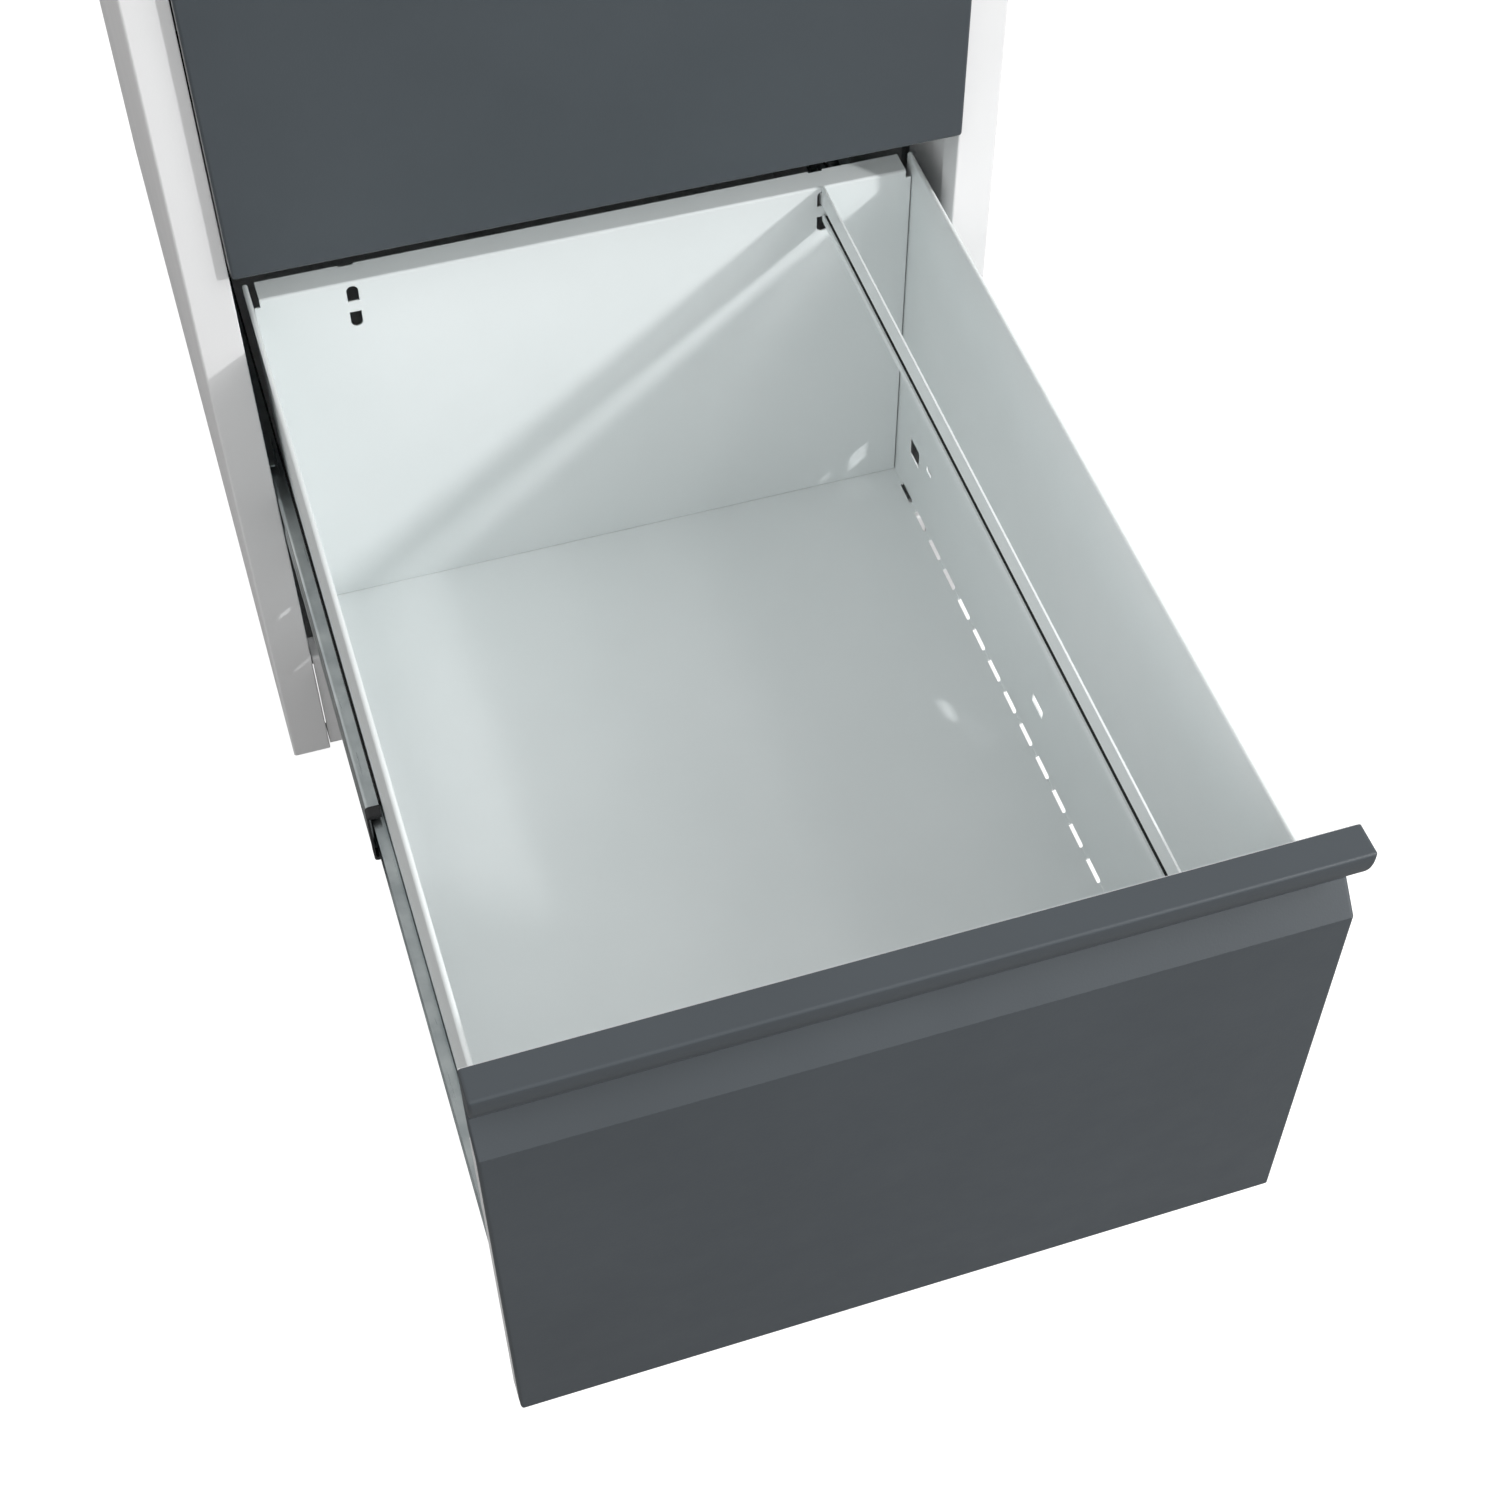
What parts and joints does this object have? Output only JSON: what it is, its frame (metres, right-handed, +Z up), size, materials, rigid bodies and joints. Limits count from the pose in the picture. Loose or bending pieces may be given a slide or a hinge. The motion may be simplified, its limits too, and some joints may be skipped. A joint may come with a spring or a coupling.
{
  "type": "under-desk filing pedestal",
  "caption": "Sheet-steel filing pedestal on concealed castors; ball-bearing drawers with curled pull lips, a hanging-file bar, and a lock.",
  "frame": {"origin": "on the floor, at the centre of the stored part's bounding box, with the lower drawer pulled out", "axes": "+Z up, +X to the right of someone facing the fronts, drawers open towards -Y"},
  "size_m": [0.42, 1.0832, 0.676],
  "materials": {
    "white_powder_coat": "satin powder coat",
    "slate_powder_coat": "satin powder coat",
    "zinc_plated_steel": "zinc plated",
    "black_plastic": "matt moulded",
    "grey_tread": "soft tread",
    "chrome_plate": "plated",
    "cast_weight": "black painted"
  },
  "bodies": {
    "casing": {"casing_left_side": "white_powder_coat", "casing_right_side": "white_powder_coat", "left_front_upright": "white_powder_coat", "left_rear_upright": "white_powder_coat", "right_front_upright": "white_powder_coat", "right_rear_upright": "white_powder_coat", "casing_back": "white_powder_coat", "casing_lid": "white_powder_coat", "base_front_rail": "white_powder_coat", "base_plate": "white_powder_coat", "counterweight": "cast_weight", "lock_housing": "chrome_plate", "lower_left_slide_outer": "zinc_plated_steel", "lower_right_slide_outer": "zinc_plated_steel", "upper_left_slide_outer": "zinc_plated_steel", "upper_right_slide_outer": "zinc_plated_steel", "front_left_castor_plate": "zinc_plated_steel", "front_right_castor_plate": "zinc_plated_steel", "rear_left_castor_plate": "zinc_plated_steel", "rear_right_castor_plate": "zinc_plated_steel"},
    "lower_drawer": {"lower_front_skin": "slate_powder_coat", "lower_front_liner": "white_powder_coat", "lower_tray": "white_powder_coat", "lower_tray_back": "white_powder_coat", "lower_hanging_bar": "white_powder_coat", "lower_left_slide_inner": "zinc_plated_steel", "lower_right_slide_inner": "zinc_plated_steel"},
    "lower_slide_middles": {"lower_left_slide_middle": "zinc_plated_steel", "lower_right_slide_middle": "zinc_plated_steel", "lower_left_slide_bumper": "black_plastic", "lower_right_slide_bumper": "black_plastic"},
    "upper_drawer": {"upper_front_skin": "slate_powder_coat", "upper_front_liner": "white_powder_coat", "upper_tray": "white_powder_coat", "upper_tray_back": "white_powder_coat", "upper_hanging_bar": "white_powder_coat", "upper_left_slide_inner": "zinc_plated_steel", "upper_right_slide_inner": "zinc_plated_steel"},
    "upper_slide_middles": {"upper_left_slide_middle": "zinc_plated_steel", "upper_right_slide_middle": "zinc_plated_steel", "upper_left_slide_bumper": "black_plastic", "upper_right_slide_bumper": "black_plastic"},
    "lock": {"lock_plug": "chrome_plate", "lock_cam": "zinc_plated_steel"},
    "locking_bar": {"locking_bar": "zinc_plated_steel"},
    "front_left_castor_fork": {"front_left_castor_fork": "black_plastic"},
    "front_left_castor_wheel": {"front_left_castor_wheel": "grey_tread"},
    "front_left_castor_brake": {"front_left_castor_brake": "black_plastic"},
    "front_right_castor_fork": {"front_right_castor_fork": "black_plastic"},
    "front_right_castor_wheel": {"front_right_castor_wheel": "grey_tread"},
    "front_right_castor_brake": {"front_right_castor_brake": "black_plastic"},
    "rear_left_castor_fork": {"rear_left_castor_fork": "black_plastic"},
    "rear_left_castor_wheel": {"rear_left_castor_wheel": "grey_tread"},
    "rear_right_castor_fork": {"rear_right_castor_fork": "black_plastic"},
    "rear_right_castor_wheel": {"rear_right_castor_wheel": "grey_tread"}
  },
  "joints": [
    {"name": "lower_drawer_slide", "type": "slide", "parent": "casing", "child": "lower_drawer", "axis": [0, -1, 0], "range_m": [-0.474, 0.026]},
    {"name": "lower_middle_slide", "type": "slide", "parent": "casing", "child": "lower_slide_middles", "axis": [0, -1, 0], "range_m": [-0.237, 0.013]},
    {"name": "upper_drawer_slide", "type": "slide", "parent": "casing", "child": "upper_drawer", "axis": [0, -1, 0], "range_m": [0, 0.5]},
    {"name": "upper_middle_slide", "type": "slide", "parent": "casing", "child": "upper_slide_middles", "axis": [0, -1, 0], "range_m": [0, 0.25]},
    {"name": "lock_turn", "type": "hinge", "parent": "casing", "child": "lock", "pos_m": [0.168, -0.0584, 0.666], "axis": [0, 1, 0], "range_deg": [0, 90]},
    {"name": "locking_bar_drop", "type": "slide", "parent": "casing", "child": "locking_bar", "axis": [0, 0, -1], "range_m": [0, 0.0078]},
    {"name": "front_left_castor_swivel", "type": "hinge", "parent": "casing", "child": "front_left_castor_fork", "pos_m": [-0.145, 0.0096, 0.05], "axis": [0, 0, 1], "continuous": true},
    {"name": "front_left_castor_roll", "type": "hinge", "parent": "front_left_castor_fork", "child": "front_left_castor_wheel", "pos_m": [-0.145, 0.0266, 0.02], "axis": [1, 0, 0], "continuous": true},
    {"name": "front_left_castor_brake_pedal", "type": "hinge", "parent": "front_left_castor_fork", "child": "front_left_castor_brake", "pos_m": [-0.145, 0.0381, 0.0442], "axis": [-1, 0, 0], "range_deg": [0, 12]},
    {"name": "front_right_castor_swivel", "type": "hinge", "parent": "casing", "child": "front_right_castor_fork", "pos_m": [0.145, 0.0096, 0.05], "axis": [0, 0, 1], "continuous": true},
    {"name": "front_right_castor_roll", "type": "hinge", "parent": "front_right_castor_fork", "child": "front_right_castor_wheel", "pos_m": [0.145, 0.0266, 0.02], "axis": [1, 0, 0], "continuous": true},
    {"name": "front_right_castor_brake_pedal", "type": "hinge", "parent": "front_right_castor_fork", "child": "front_right_castor_brake", "pos_m": [0.145, 0.0381, 0.0442], "axis": [-1, 0, 0], "range_deg": [0, 12]},
    {"name": "rear_left_castor_swivel", "type": "hinge", "parent": "casing", "child": "rear_left_castor_fork", "pos_m": [-0.145, 0.4796, 0.05], "axis": [0, 0, 1], "continuous": true},
    {"name": "rear_left_castor_roll", "type": "hinge", "parent": "rear_left_castor_fork", "child": "rear_left_castor_wheel", "pos_m": [-0.145, 0.4966, 0.02], "axis": [1, 0, 0], "continuous": true},
    {"name": "rear_right_castor_swivel", "type": "hinge", "parent": "casing", "child": "rear_right_castor_fork", "pos_m": [0.145, 0.4796, 0.05], "axis": [0, 0, 1], "continuous": true},
    {"name": "rear_right_castor_roll", "type": "hinge", "parent": "rear_right_castor_fork", "child": "rear_right_castor_wheel", "pos_m": [0.145, 0.4966, 0.02], "axis": [1, 0, 0], "continuous": true}
  ],
  "couplings": [
    {"joint": "lower_middle_slide", "follows": "lower_drawer_slide", "ratio": 0.5},
    {"joint": "upper_middle_slide", "follows": "upper_drawer_slide", "ratio": 0.5},
    {"joint": "lock_turn", "follows": "locking_bar_drop", "rad_per_m": 200}
  ]
}
